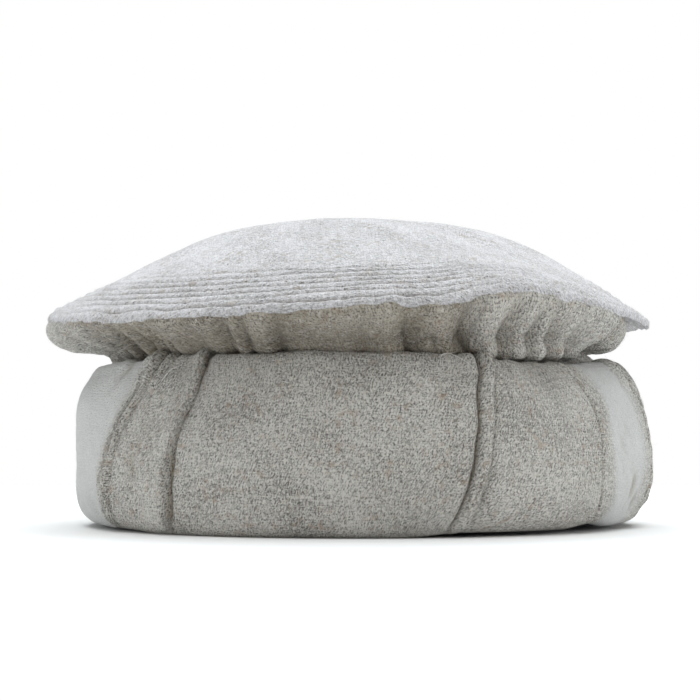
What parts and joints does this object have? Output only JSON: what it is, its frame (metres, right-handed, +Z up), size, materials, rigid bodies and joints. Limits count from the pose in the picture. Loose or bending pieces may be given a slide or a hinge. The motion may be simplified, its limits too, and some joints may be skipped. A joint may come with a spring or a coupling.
{
  "type": "pakol hat",
  "caption": "Soft round wool hat: a low domed crown with a quilted edge over a gathered neck and a thick rolled-up brim. Worn on the head.",
  "frame": {"origin": "on the surface that the hat rests on, under the middle of the hat's outline seen from above", "axes": "+Z up, through the middle of the crown; -Y towards the front, the side that the picture shows; +X to the right in the picture"},
  "size_m": [0.2442, 0.2412, 0.1231],
  "materials": {
    "crown_wool": "pale heathered wool, felted, quilted with rows of stitching at the edge",
    "tube_wool": "pale heathered wool in a coarse plain weave, felted"
  },
  "bodies": {
    "root": {"crown": "crown_wool", "lining_band": "tube_wool", "gathered_skirt": "tube_wool", "head_tube": "tube_wool", "rolled_brim": "tube_wool"}
  },
  "joints": []
}
